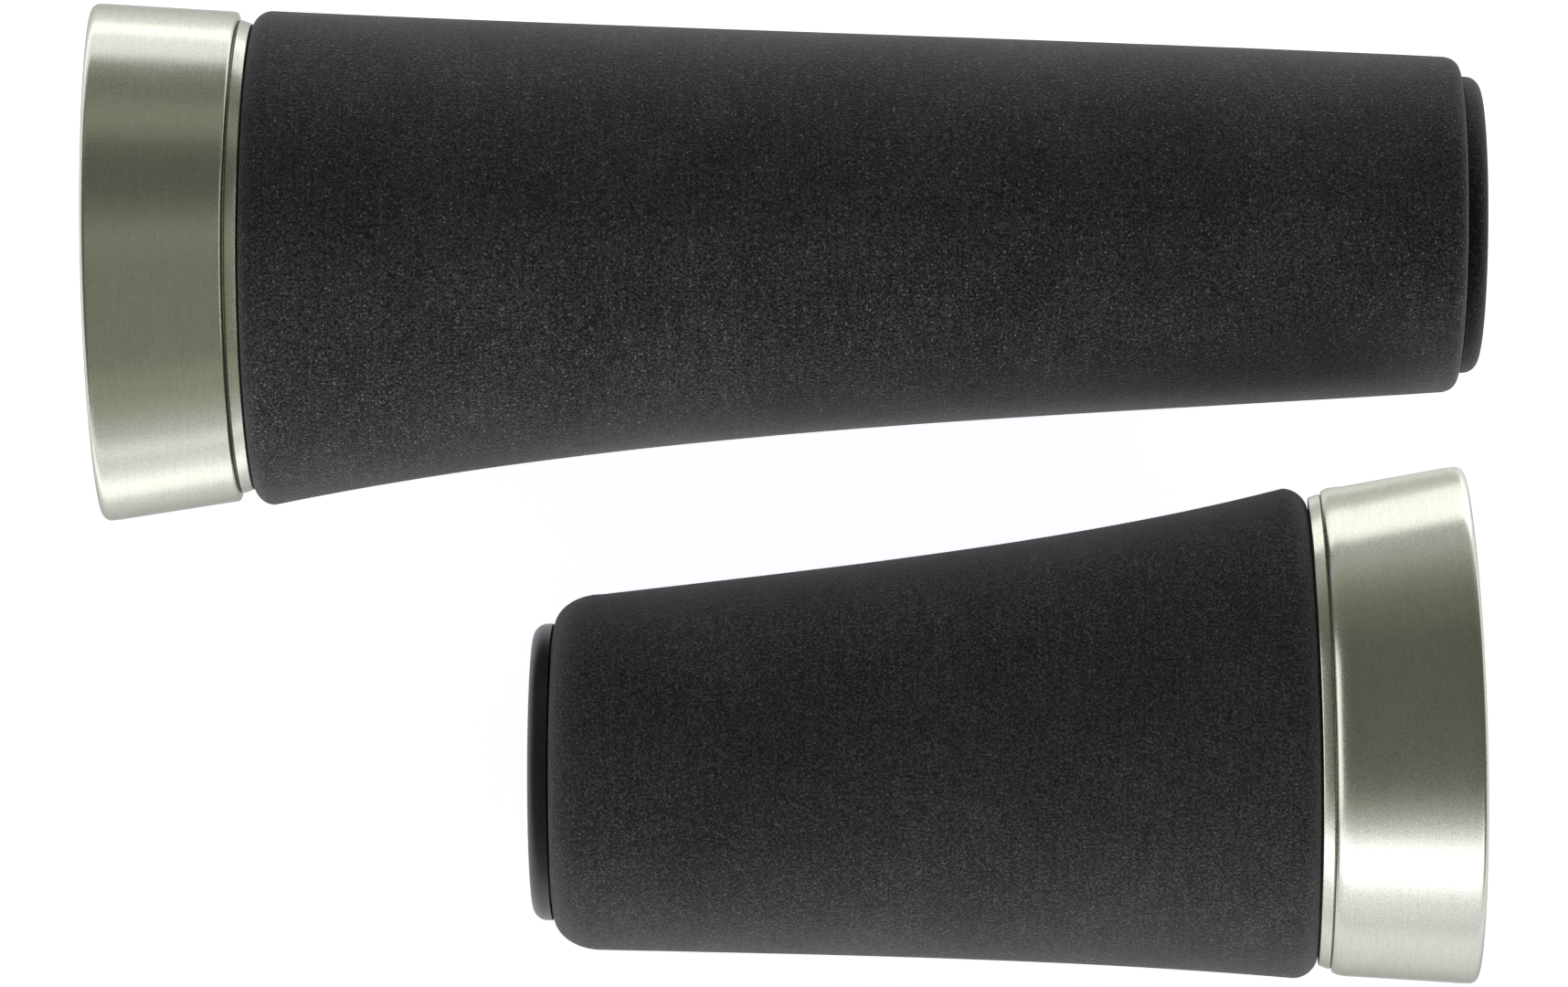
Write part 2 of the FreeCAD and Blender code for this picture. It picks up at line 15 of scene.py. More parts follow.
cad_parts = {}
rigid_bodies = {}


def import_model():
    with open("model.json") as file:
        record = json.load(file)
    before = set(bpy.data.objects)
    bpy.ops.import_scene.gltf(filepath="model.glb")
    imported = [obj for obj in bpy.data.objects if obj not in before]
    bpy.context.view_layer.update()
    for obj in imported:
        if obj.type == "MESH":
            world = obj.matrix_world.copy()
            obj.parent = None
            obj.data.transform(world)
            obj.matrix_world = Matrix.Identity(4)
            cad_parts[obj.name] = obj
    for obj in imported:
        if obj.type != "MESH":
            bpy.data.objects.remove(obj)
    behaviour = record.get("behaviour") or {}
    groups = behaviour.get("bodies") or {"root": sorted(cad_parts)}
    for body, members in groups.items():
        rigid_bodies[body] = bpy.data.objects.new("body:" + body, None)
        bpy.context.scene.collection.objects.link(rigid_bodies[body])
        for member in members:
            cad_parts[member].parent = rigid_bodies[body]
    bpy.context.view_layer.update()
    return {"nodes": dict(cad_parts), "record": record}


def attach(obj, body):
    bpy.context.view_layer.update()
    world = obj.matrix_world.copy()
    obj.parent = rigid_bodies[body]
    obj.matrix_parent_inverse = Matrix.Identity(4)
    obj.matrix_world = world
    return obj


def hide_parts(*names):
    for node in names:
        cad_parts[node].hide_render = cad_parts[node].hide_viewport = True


for leftover in list(bpy.data.objects):
    bpy.data.objects.remove(leftover)
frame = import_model()


# ---------------------------------------------------------------------------------------------
# The view: straight down on the pair through a long lens, so that the sides of the grips and the
# rims of the rings are seen edge on.
# ---------------------------------------------------------------------------------------------
lens_height = 1.288
focal_length = 298.4

camera = bpy.data.objects.new("camera", bpy.data.cameras.new("camera"))
camera.data.lens = focal_length
camera.data.sensor_width = 36.0
camera.location = (0.0, 0.0, lens_height)
bpy.context.collection.objects.link(camera)
bpy.context.scene.camera = camera
bpy.context.scene.view_settings.view_transform = "Standard"


# ---------------------------------------------------------------------------------------------
# The floor: opal acrylic over a light table, matt, wide enough to have no edge in any view. It
# glows a little, so that the surface stays white between the two grips.
# ---------------------------------------------------------------------------------------------
class Finish:
    """A material with short calls for the nodes that every surface here needs.

    It works in metres of the object's own coordinates. The "lay" map gives the way round each
    turned or ground piece.
    """

    def __init__(self, name, colour, roughness, metallic=0.0):
        self.material = bpy.data.materials.new(name)
        self.material.use_nodes = True
        self.tree = self.material.node_tree
        self.tree.nodes.clear()
        self.shader = self.node("ShaderNodeBsdfPrincipled")
        output = self.node("ShaderNodeOutputMaterial")
        self.tree.links.new(self.shader.outputs["BSDF"], output.inputs["Surface"])
        self.shader.inputs["Base Color"].default_value = (*colour, 1.0)
        self.shader.inputs["Roughness"].default_value = roughness
        self.shader.inputs["Metallic"].default_value = metallic
        self.spot = self.node("ShaderNodeTexCoord").outputs["Object"]
        self.bump = None

    def node(self, kind, **settings):
        node = self.tree.nodes.new(kind)
        for key, value in settings.items():
            setattr(node, key, value)
        return node

    def join(self, value, socket):
        if isinstance(value, (int, float, tuple)):
            socket.default_value = value
        else:
            self.tree.links.new(value, socket)

    def calc(self, operation, first, second=0.0, third=0.0):
        node = self.node("ShaderNodeMath", operation=operation)
        for value, socket in zip((first, second, third), node.inputs):
            self.join(value, socket)
        return node.outputs[0]

    def grid(self, along, around):
        """Vector that stretches a texture: cycles per metre along X, cycles per turn round it."""
        apart = self.node("ShaderNodeSeparateXYZ")
        self.join(self.spot, apart.inputs[0])
        lay = self.node("ShaderNodeSeparateXYZ")
        self.join(self.node("ShaderNodeUVMap", uv_map="lay").outputs["UV"], lay.inputs[0])
        turn = self.calc("MULTIPLY", lay.outputs["Y"], 2 * math.pi)
        reach = around / (2 * math.pi)
        place = self.node("ShaderNodeCombineXYZ")
        self.join(self.calc("MULTIPLY", apart.outputs["X"], along), place.inputs["X"])
        self.join(self.calc("MULTIPLY", self.calc("COSINE", turn), reach), place.inputs["Y"])
        self.join(self.calc("MULTIPLY", self.calc("SINE", turn), reach), place.inputs["Z"])
        return place.outputs[0]

    def noise(self, place, scale, detail=2.0, roughness=0.5):
        node = self.node("ShaderNodeTexNoise")
        self.join(place, node.inputs["Vector"])
        node.inputs["Scale"].default_value = scale
        node.inputs["Detail"].default_value = detail
        node.inputs["Roughness"].default_value = roughness
        return node.outputs["Fac"]

    def flecks(self, scale, size):
        """Small dots scattered in space, 1 inside a dot and 0 outside."""
        node = self.node("ShaderNodeTexVoronoi")
        self.join(self.spot, node.inputs["Vector"])
        node.inputs["Scale"].default_value = scale
        near = self.calc("LESS_THAN", node.outputs["Distance"], size)
        pick = self.node("ShaderNodeSeparateXYZ")
        self.join(node.outputs["Color"], pick.inputs[0])
        return near, pick.outputs["X"]

    def span(self, value, low, high, to_low, to_high):
        node = self.node("ShaderNodeMapRange")
        for number, amount in enumerate((value, low, high, to_low, to_high)):
            self.join(amount, node.inputs[number])
        return node.outputs[0]

    def tint(self, share, first, second):
        node = self.node("ShaderNodeMix", data_type="RGBA")
        self.join(share, node.inputs["Factor"])
        self.join((*first, 1.0) if isinstance(first, tuple) else first, node.inputs["A"])
        self.join((*second, 1.0) if isinstance(second, tuple) else second, node.inputs["B"])
        return node.outputs["Result"]

    def colour(self, value):
        self.join(value, self.shader.inputs["Base Color"])

    def roughness(self, value):
        self.join(value, self.shader.inputs["Roughness"])

    def relief(self, height, depth, strength=1.0):
        """Add a bump of the given depth in metres over those already there."""
        node = self.node("ShaderNodeBump")
        node.inputs["Strength"].default_value = strength
        node.inputs["Distance"].default_value = depth
        self.join(height, node.inputs["Height"])
        if self.bump is not None:
            self.join(self.bump, node.inputs["Normal"])
        self.bump = node.outputs["Normal"]
        self.join(self.bump, self.shader.inputs["Normal"])


floor_half = 3.0
corners = [(-floor_half, -floor_half, 0.0), (floor_half, -floor_half, 0.0),
           (floor_half, floor_half, 0.0), (-floor_half, floor_half, 0.0)]
floor_mesh = bpy.data.meshes.new("floor")
floor_mesh.from_pydata(corners, [], [(0, 1, 2, 3)])
floor = bpy.data.objects.new("floor", floor_mesh)
bpy.context.collection.objects.link(floor)
opal = Finish("opal_acrylic", (0.88, 0.88, 0.88), 0.85)
opal.shader.inputs["Specular IOR Level"].default_value = 0.2
opal.shader.inputs["Emission Color"].default_value = (0.98, 0.985, 1.06, 1.0)
opal.shader.inputs["Emission Strength"].default_value = 0.93
opal.colour(opal.span(opal.noise(opal.spot, 900.0), 0.3, 0.7, 0.87, 0.89))
floor_mesh.materials.append(opal.material)


# ---------------------------------------------------------------------------------------------
# Light: a dim ceiling, long soft boxes low on both sides, and narrow cards that show only as
# reflections in the metal. Each card serves the ring and plate of one grip only.
# ---------------------------------------------------------------------------------------------
room = bpy.data.worlds.new("room")
room.use_nodes = True
room.node_tree.nodes["Background"].inputs["Color"].default_value = (1.0, 1.01, 0.88, 1.0)
room.node_tree.nodes["Background"].inputs["Strength"].default_value = 0.13
bpy.context.scene.world = room

SIDES = ("left", "right")
metal_of, rubber_of = {}, {}
ring_middle = {"left": Vector((-0.0605, 0.0225, 0.0198)), "right": Vector((0.0605, -0.0225, 0.0198))}
for side in SIDES:
    metal_of[side] = bpy.data.collections.new(side + "_metal")
    rubber_of[side] = bpy.data.collections.new(side + "_rubber")


def lamp_at(name, middle, facing, length, width, radiance, along=(1.0, 0.0, 0.0)):
    """A rectangular lamp that faces a direction; radiance is what a mirror sees of it."""
    lamp = bpy.data.lights.new(name, "AREA")
    lamp.shape = "RECTANGLE"
    lamp.size = length
    lamp.size_y = width
    lamp.energy = radiance * math.pi * length * width
    box = bpy.data.objects.new(name, lamp)
    box.location = middle
    along = Vector(along)
    out = -Vector(facing).normalized()
    box.rotation_mode = "QUATERNION"
    box.rotation_quaternion = Matrix((along, out.cross(along), out)).transposed().to_quaternion()
    box.visible_camera = False
    bpy.context.collection.objects.link(box)
    return box


box_length, box_distance = 1.6, 0.8


def arc_lamp(name, centre, angle, width, radiance):
    """A long lamp at an angle from overhead, + towards +Y, that covers a width in degrees."""
    lean = math.radians(angle)
    out = Vector((0.0, math.sin(lean), math.cos(lean)))
    middle = centre + out * box_distance
    return lamp_at(name, middle, -out, box_length, box_distance * math.radians(width), radiance)


def shine_on(lamp, pieces, glossy):
    """Give a lamp to some pieces only, either for their reflections or for their matt shade."""
    lamp.light_linking.receiver_collection = pieces
    lamp.visible_diffuse = not glossy
    lamp.visible_glossy = glossy


all_but_floor = bpy.data.collections.new("all_but_floor")
all_but_floor.objects.link(floor)
all_but_floor.collection_objects[0].light_linking.link_state = "EXCLUDE"
between = Vector((0.0, 0.0, 0.02))
shine_on(arc_lamp("front_box", between, -76.0, 24.0, 5.5), all_but_floor, False)
shine_on(arc_lamp("front_box_long", between, -76.0, 24.0, 4.0), rubber_of["left"], False)
arc_lamp("back_box", between, 66.0, 24.0, 3.0).visible_glossy = False
# White strips stand between the grips and light the two sides that face each other.
long_strip = lamp_at("strip_long", (0.03, 0.0, 0.014), (0.0, 1.0, 0.15), 0.1, 0.024, 1.3)
short_strip = lamp_at("strip_short", (0.01, 0.012, 0.014), (0.0, -1.0, 0.25), 0.1, 0.024, 1.0)
shine_on(long_strip, rubber_of["left"], False)
shine_on(short_strip, rubber_of["right"], False)

# Each card: angle, width and radiance. The dim ones are olive and the bright ones white.
olive_card, white_card, dim_limit = (1.0, 1.01, 0.78), (0.98, 0.985, 1.07), 0.4
cards = {
    "left": ((-18.0, 64.0, 0.12), (-50.0, 12.0, 0.2), (-61.0, 10.0, 0.32), (-72.0, 12.0, 0.5),
             (-83.0, 10.0, 1.2), (12.0, 14.0, 0.1), (55.0, 16.0, 0.2), (68.0, 14.0, 0.08),
             (81.0, 10.0, 0.13)),
    "right": ((-30.0, 8.0, 0.2), (-38.0, 8.0, 0.5), (-55.0, 25.0, 2.1), (-78.0, 20.0, 0.95),
              (48.0, 16.0, 0.06), (60.0, 10.0, 0.14), (69.0, 9.0, 0.27), (77.0, 8.0, 0.42),
              (86.0, 8.0, 0.6)),
}
for side in SIDES:
    for number, (angle, width, radiance) in enumerate(cards[side]):
        shown = arc_lamp("%s_card_%d" % (side, number), ring_middle[side], angle, width, radiance)
        shown.data.color = olive_card if radiance < dim_limit else white_card
        shine_on(shown, metal_of[side], True)
# One more card for each ring leans over its inboard edge.
edge_card_distance, edge_card_length = 0.5, 0.5
for side, inboard, width, radiance in (("left", 1.0, 0.16, 1.1), ("right", -1.0, 0.22, 1.6)):
    lean = Vector((0.74 * inboard, 0.0, 0.67))
    middle = ring_middle[side] + lean * edge_card_distance
    edge_card = lamp_at(side + "_edge_card", middle, -lean, edge_card_length, width, radiance,
                        along=(0.0, 1.0, 0.0))
    shine_on(edge_card, metal_of[side], True)
# A slip of white card, brighter at its top, stands between the short grip's ring and the long
# grip beside it. Low cards stand on both sides of the long grip's ring.
for name, side, middle, facing, length, width, radiance in (
        ("slip_top", "right", (0.0605, 0.0068, 0.0275), (0.0, -1.0, 0.0), 0.03, 0.009, 1.7),
        ("slip_foot", "right", (0.0605, 0.0068, 0.0115), (0.0, -1.0, 0.0), 0.03, 0.023, 0.85),
        ("long_low_card", "left", (-0.06, 0.088, 0.003), (0.0, -1.0, 0.25), 0.14, 0.016, 1.0),
        ("long_front_low_card", "left", (-0.06, -0.045, 0.004), (0.0, 1.0, 0.3), 0.14, 0.03, 0.75)):
    shine_on(lamp_at(name, middle, facing, length, width, radiance), metal_of[side], True)


# ---------------------------------------------------------------------------------------------
# palm_grip: black foam rubber, moulded over its core and then ground to shape, which leaves fine
# lines running round it and a dusty nap. Round beside the flange, oval with a palm wing outboard.
# ---------------------------------------------------------------------------------------------
MM = 0.001


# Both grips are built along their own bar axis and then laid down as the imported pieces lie: X is
# outboard from the inboard end, Y towards the palm wing, and the sizes are millimetres.
def lie_of(side):
    """Matrix from a grip's own axes, in metres, to the frame."""
    bore = next(m for m in frame["record"]["mounts"] if m["name"] == side + "_bar_bore")
    inboard = Vector(bore["axis"]).normalized()
    outboard = -inboard
    wing = Vector((0.0, 0.0, 1.0)).cross(outboard).normalized()
    up = outboard.cross(wing)
    lie = Matrix((outboard, wing, up)).transposed().to_4x4()
    lie.translation = Vector(bore["pos_m"]) + inboard * bore["dims"]["length_mm"] * MM / 2
    return lie


def spread_of(side, piece):
    """Lowest and highest corner of a CAD piece in its grip's own axes, in millimetres."""
    node = frame["nodes"]["%s_%s" % (side, piece)]
    back = lie_of(side).inverted()
    spots = [(back @ vertex.co) / MM for vertex in node.data.vertices]
    low = Vector(min(spot[axis] for spot in spots) for axis in range(3))
    high = Vector(max(spot[axis] for spot in spots) for axis in range(3))
    return low, high


def add_piece(side, name, mesh, finish, body, slot, *nodes):
    """Put a finished shell in the scene, riding with its body in place of the CAD pieces."""
    piece = bpy.data.objects.new("%s_%s" % (side, name), mesh)
    bpy.context.collection.objects.link(piece)
    mesh.materials.append(finish.material)
    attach(piece, "%s_%s" % (side, body))
    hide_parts(*["%s_%s" % (side, node) for node in nodes])
    return piece


# The ends of the real rings aren't flat, and the rubber follows them: the palm and finger sides
# stand back by the bow, given at the palm wing, and the top leans outboard by the rise, which
# brings it upright when the grip lies down. Rises are for the inboard edge and the mouth.
ring_bow = {"left": 1.1, "right": 1.2}
mouth_bow = 0.6
inner_slant = {"left": 0.0, "right": 0.6}
ring_rise = {"left": (0.042, 0.042), "right": (0.0, 0.045)}
wing_reach = 28.0

sleeve_sections = {
    "left": {"Root Radius": 16.42, "Wing Third": 18.95, "Wing Two Thirds": 22.29, "Wing End": 28.19,
             "Front Third": 17.68, "Front Two Thirds": 18.72, "Front End": 19.95,
             "Inner Round": 1.7, "Shoulder Round": 1.8},
    "right": {"Root Radius": 17.36, "Wing Third": 20.03, "Wing Two Thirds": 23.23, "Wing End": 27.69,
              "Front Third": 17.85, "Front Two Thirds": 18.62, "Front End": 20.05,
              "Inner Round": 4.6, "Shoulder Round": 2.3},
}
sleeve_shared = {"High End": 19.60, "Core Radius": 13.25, "Unevenness": 0.035}
for side in SIDES:
    sleeve_sections[side]["End Bow"] = ring_bow[side]
    sleeve_sections[side]["End Slant"] = math.tan(math.radians(inner_slant[side]))
    sleeve_sections[side]["End Rise"] = ring_rise[side][0]
sleeve_rows, sleeve_around = 300, 256
inner_flatness, weld_distance, plate_seam = 0.7, 0.00005, 0.05

sleeve = bpy.data.node_groups.new("ground_sleeve", "GeometryNodeTree")
sleeve.interface.new_socket("Geometry", in_out="OUTPUT", socket_type="NodeSocketGeometry")
for label in ("Length", *sleeve_sections["left"], *sleeve_shared):
    sleeve.interface.new_socket(label, in_out="INPUT", socket_type="NodeSocketFloat")
sleeve.interface.new_socket("Finish", in_out="INPUT", socket_type="NodeSocketMaterial")
sleeve_in = sleeve.nodes.new("NodeGroupInput")
sleeve_out = sleeve.nodes.new("NodeGroupOutput")
size = sleeve_in.outputs


def feed(tree, value, socket):
    if isinstance(value, (int, float, str)):
        socket.default_value = value
    else:
        tree.links.new(value, socket)


def work(tree, operation, first, second=0.0, third=0.0):
    """One maths node of a geometry tree."""
    node = tree.nodes.new("ShaderNodeMath")
    node.operation = operation
    for value, socket in zip((first, second, third), node.inputs):
        feed(tree, value, socket)
    return node.outputs[0]


def sleeve_calc(operation, first, second=0.0, third=0.0):
    return work(sleeve, operation, first, second, third)


def through_four(share, values):
    """Cubic through four values spaced evenly along the sleeve."""
    total = 0.0
    for own in range(4):
        term = values[own]
        for other in range(4):
            if other != own:
                rise = sleeve_calc("SUBTRACT", share, other / 3.0)
                term = sleeve_calc("MULTIPLY", term, sleeve_calc("MULTIPLY", rise, 3.0 / (own - other)))
        total = sleeve_calc("ADD", total, term)
    return total


# The last three rows of the grid close the bore: out to the core at each end, and back to row 0.
grid = sleeve.nodes.new("GeometryNodeMeshGrid")
grid.inputs["Size X"].default_value = 1.0
grid.inputs["Size Y"].default_value = 1.0
grid.inputs["Vertices X"].default_value = sleeve_rows + 3
grid.inputs["Vertices Y"].default_value = sleeve_around + 1
index = sleeve.nodes.new("GeometryNodeInputIndex").outputs[0]
row = sleeve_calc("FLOOR", sleeve_calc("DIVIDE", sleeve_calc("ADD", index, 0.5), sleeve_around + 1.0))
step = sleeve_calc("SUBTRACT", index, sleeve_calc("MULTIPLY", row, sleeve_around + 1.0))
at_far_core = sleeve_calc("COMPARE", row, float(sleeve_rows), 0.1)
at_near_core = sleeve_calc("COMPARE", row, sleeve_rows + 1.0, 0.1)
before_end = sleeve_calc("LESS_THAN", row, sleeve_rows + 0.5)
used_row = sleeve_calc("MULTIPLY", sleeve_calc("MINIMUM", row, sleeve_rows - 1.0), before_end)
swing = sleeve_calc("COSINE", sleeve_calc("MULTIPLY", used_row, math.pi / (sleeve_rows - 1)))
along = sleeve_calc("MULTIPLY", sleeve_calc("SUBTRACT", 1.0, swing), 0.5)
x = sleeve_calc("MULTIPLY", along, size["Length"])
from_far = sleeve_calc("SUBTRACT", size["Length"], x)
body_start = size["Inner Round"]
body_length = sleeve_calc("SUBTRACT", sleeve_calc("SUBTRACT", size["Length"], body_start),
                          size["Shoulder Round"])
share = sleeve_calc("DIVIDE", sleeve_calc("SUBTRACT", x, body_start), body_length)
share = sleeve_calc("MINIMUM", sleeve_calc("MAXIMUM", share, 0.0), 1.0)


def rounded(distance, radius):
    """How far a quarter-round edge draws the outline in, at a distance from the end face."""
    left = sleeve_calc("SUBTRACT", 1.0, sleeve_calc("DIVIDE", distance, radius))
    left = sleeve_calc("MAXIMUM", left, 0.0)
    rise = sleeve_calc("SQRT", sleeve_calc("SUBTRACT", 1.0, sleeve_calc("MULTIPLY", left, left)))
    return sleeve_calc("MULTIPLY", radius, sleeve_calc("SUBTRACT", 1.0, rise))


# The inboard round is longer than it's deep.
inner_inset = sleeve_calc("MULTIPLY", rounded(x, size["Inner Round"]), inner_flatness)
inset = sleeve_calc("ADD", inner_inset, rounded(from_far, size["Shoulder Round"]))
root = size["Root Radius"]
wing = through_four(share, [root, size["Wing Third"], size["Wing Two Thirds"], size["Wing End"]])
front = through_four(share, [root, size["Front Third"], size["Front Two Thirds"], size["Front End"]])
high = sleeve_calc("MULTIPLY_ADD", sleeve_calc("SUBTRACT", size["High End"], root), share, root)
at_core = sleeve_calc("ADD", at_far_core, at_near_core)
not_core = sleeve_calc("SUBTRACT", 1.0, at_core)
reach = []
for outline in (wing, front, high):
    outer = sleeve_calc("MULTIPLY", sleeve_calc("SUBTRACT", outline, inset), not_core)
    reach.append(sleeve_calc("MULTIPLY_ADD", size["Core Radius"], at_core, outer))
turn = sleeve_calc("MULTIPLY_ADD", step, 2.0 * math.pi / sleeve_around, -math.pi / 2.0)
half_width = sleeve_calc("MULTIPLY", sleeve_calc("ADD", reach[0], reach[1]), 0.5)
middle = sleeve_calc("MULTIPLY", sleeve_calc("SUBTRACT", reach[0], reach[1]), 0.5)
place = sleeve.nodes.new("ShaderNodeCombineXYZ")
y = sleeve_calc("MULTIPLY_ADD", half_width, sleeve_calc("COSINE", turn), middle)
bow = sleeve_calc("POWER", sleeve_calc("DIVIDE", y, wing_reach), 2.0)
bow = sleeve_calc("MULTIPLY", size["End Bow"], bow)
z = sleeve_calc("MULTIPLY", reach[2], sleeve_calc("SINE", turn))
rise = sleeve_calc("MULTIPLY", sleeve_calc("MULTIPLY", z, size["End Rise"]), not_core)
back = sleeve_calc("ADD", bow, sleeve_calc("MULTIPLY", y, size["End Slant"]))
back = sleeve_calc("SUBTRACT", back, rise)
is_far = sleeve_calc("MAXIMUM", sleeve_calc("MULTIPLY", share, not_core), at_far_core)
back = sleeve_calc("MULTIPLY", back, sleeve_calc("POWER", is_far, 3.0))
feed(sleeve, sleeve_calc("SUBTRACT", x, back), place.inputs["X"])
feed(sleeve, y, place.inputs["Y"])
feed(sleeve, z, place.inputs["Z"])
shaped = sleeve.nodes.new("GeometryNodeSetPosition")
feed(sleeve, grid.outputs["Mesh"], shaped.inputs["Geometry"])
feed(sleeve, place.outputs[0], shaped.inputs["Position"])
mapped = sleeve.nodes.new("GeometryNodeStoreNamedAttribute")
mapped.data_type = "FLOAT2"
mapped.domain = "CORNER"
mapped.inputs["Name"].default_value = "lay"
feed(sleeve, shaped.outputs[0], mapped.inputs["Geometry"])
feed(sleeve, grid.outputs["UV Map"], mapped.inputs["Value"])
welded = sleeve.nodes.new("GeometryNodeMergeByDistance")
welded.inputs["Distance"].default_value = weld_distance
feed(sleeve, mapped.outputs[0], welded.inputs["Geometry"])

# Hand grinding leaves the surface a few hundredths of a millimetre uneven. It only takes away.
lumps = sleeve.nodes.new("ShaderNodeTexNoise")
lumps.inputs["Scale"].default_value = 0.11
lumps.inputs["Detail"].default_value = 3.0
normal = sleeve.nodes.new("GeometryNodeInputNormal")
depth = sleeve_calc("MULTIPLY", sleeve_calc("SUBTRACT", lumps.outputs["Fac"], 1.0), size["Unevenness"])
push = sleeve.nodes.new("ShaderNodeVectorMath")
push.operation = "SCALE"
feed(sleeve, normal.outputs[0], push.inputs[0])
feed(sleeve, depth, push.inputs["Scale"])
ground = sleeve.nodes.new("GeometryNodeSetPosition")
feed(sleeve, welded.outputs[0], ground.inputs["Geometry"])
feed(sleeve, push.outputs[0], ground.inputs["Offset"])
whole = sleeve.nodes.new("GeometryNodeRealizeInstances")
feed(sleeve, ground.outputs[0], whole.inputs[0])
dressed = sleeve.nodes.new("GeometryNodeSetMaterial")
feed(sleeve, whole.outputs[0], dressed.inputs["Geometry"])
sleeve.links.new(size["Finish"], dressed.inputs["Material"])
feed(sleeve, dressed.outputs[0], sleeve_out.inputs[0])


def grown(name, tree, sizes, finish, lie):
    """Run a geometry tree once, lay its plain mesh down in the frame and drop the modifier."""
    seed = bpy.data.objects.new(name + "_seed", bpy.data.meshes.new(name + "_seed"))
    bpy.context.collection.objects.link(seed)
    modifier = seed.modifiers.new("nodes", "NODES")
    modifier.node_group = tree
    sockets = {item.name: item.identifier for item in tree.interface.items_tree
               if item.in_out == "INPUT"}
    for label, amount in sizes.items():
        modifier[sockets[label]] = amount
    modifier[sockets["Finish"]] = finish.material
    seed.update_tag()
    bpy.context.view_layer.update()
    depsgraph = bpy.context.evaluated_depsgraph_get()
    mesh = bpy.data.meshes.new_from_object(seed.evaluated_get(depsgraph), depsgraph=depsgraph)
    bpy.data.objects.remove(seed)
    mesh.name = name
    mesh.transform(lie @ Matrix.Scale(MM, 4))
    solid = bmesh.new()
    solid.from_mesh(mesh)
    bmesh.ops.recalc_face_normals(solid, faces=solid.faces)
    for face in solid.faces:
        face.smooth = True
    solid.to_mesh(mesh)
    solid.free()
    return mesh


def ground_rubber(name, dark, light, fleck):
    rubber = Finish(name, dark, 0.8)
    rubber.shader.inputs["Specular IOR Level"].default_value = 0.3
    streaks = rubber.noise(rubber.grid(2200.0, 26.0), 1.0, 3.0, 0.6)
    cloud = rubber.noise(rubber.spot, 70.0, 4.0, 0.6)
    grain = rubber.noise(rubber.spot, 4400.0, 2.0, 0.7)
    worn = rubber.calc("MULTIPLY_ADD", streaks, 0.18, rubber.calc("MULTIPLY", grain, 1.2))
    worn = rubber.calc("ADD", worn, rubber.calc("MULTIPLY", cloud, 0.2))
    nap = rubber.calc("POWER", rubber.span(worn, 0.55, 1.05, 0.0, 1.0), 2.0)
    base = rubber.tint(nap, dark, light)
    dot, pick = rubber.flecks(3000.0, 0.3)
    chosen = rubber.calc("MULTIPLY", dot, rubber.calc("GREATER_THAN", pick, 0.9))
    rubber.colour(rubber.tint(rubber.calc("MULTIPLY", chosen, 0.45), base, fleck))
    rubber.roughness(rubber.span(grain, 0.3, 0.7, 0.7, 0.92))
    rubber.shader.inputs["Sheen Weight"].default_value = 0.22
    rubber.shader.inputs["Sheen Roughness"].default_value = 0.45
    rubber.relief(grain, 0.0003, 0.7)
    rubber.relief(streaks, 0.00008, 0.2)
    return rubber


# Both grips are of one rubber. The short grip's copy has a lighter base colour than the long one's. That
# difference is painted light: it stands for the brighter light that falls on the short grip.
rubbers = {
    "left": ground_rubber("ground_rubber_long", (0.0014, 0.0015, 0.0016), (0.085, 0.0865, 0.0865),
                          (0.24, 0.24, 0.23)),
    "right": ground_rubber("ground_rubber_short", (0.0065, 0.0076, 0.0075), (0.1, 0.108, 0.106),
                           (0.16, 0.18, 0.17)),
}
for side in SIDES:
    inboard_end = spread_of(side, "grip_body")[0].x
    plate = spread_of(side, "backing_ring")[0].x
    sizes = {"Length": plate - plate_seam - inboard_end, **sleeve_sections[side], **sleeve_shared}
    start = lie_of(side) @ Matrix.Translation((inboard_end * MM, 0.0, 0.0))
    mesh = grown(side + "_palm_grip", sleeve, sizes, rubbers[side], start)
    mesh.materials.clear()
    grip = add_piece(side, "palm_grip", mesh, rubbers[side], "grip", "ground_rubber", "grip_body")
    rubber_of[side].objects.link(grip)


# ---------------------------------------------------------------------------------------------
# end_ring and backing_ring: aluminium, turned and milled to an oval, brushed round and plated in
# satin nickel. The ring flares to its mouth, has a web inside and is screwed on over the plate.
# ---------------------------------------------------------------------------------------------
ring_in = (27.9, 19.9, 19.5)
ring_out = (29.87, 20.58, 20.13)
ring_slant = 1.2
ring_wall, web_thick = 1.8, 3.0
ring_deep = 13.8
lip_width, lip_step, rim_round = 0.9, 0.12, 0.8
inner_round, plate_step = {"left": 0.45, "right": 2.0}, {"left": 0.85, "right": 0.75}
lip_deep, rim_run_in, recess_fillet = 0.75, 0.3, 0.3
plate_round, plate_land, plate_draft, plate_bevel = 0.3, 0.95, 0.25, 0.12
plate_bore, web_seat, bolt_hole = 11.6, 12.5, 2.75
wall_rows = 16
# Edges that turn by more than the crease stay sharp.
crease = math.radians(35.0)


# The turned and moulded shells are skins through rows of ovals. Each hoop is (x, wing, front, high,
# slant): how far it reaches on the palm side, on the finger side and up, and its lean in degrees.
def quarter(x, radius, outline, inward, slant=0.0, steps=10, depth=None):
    """Hoops of a quarter-round rim that ends at x; inward is +1 at an inboard end, -1 outboard.

    It's a quarter of an ellipse where a depth is given.
    """
    hoops = []
    for step in range(steps + 1):
        angle = math.radians(90.0 * step / steps)
        inset = (radius if depth is None else depth) * (1.0 - math.sin(angle))
        spot = x + inward * radius * (1.0 - math.cos(angle))
        hoops.append((spot, *(size - inset for size in outline), slant))
    return hoops if inward > 0 else hoops[::-1]


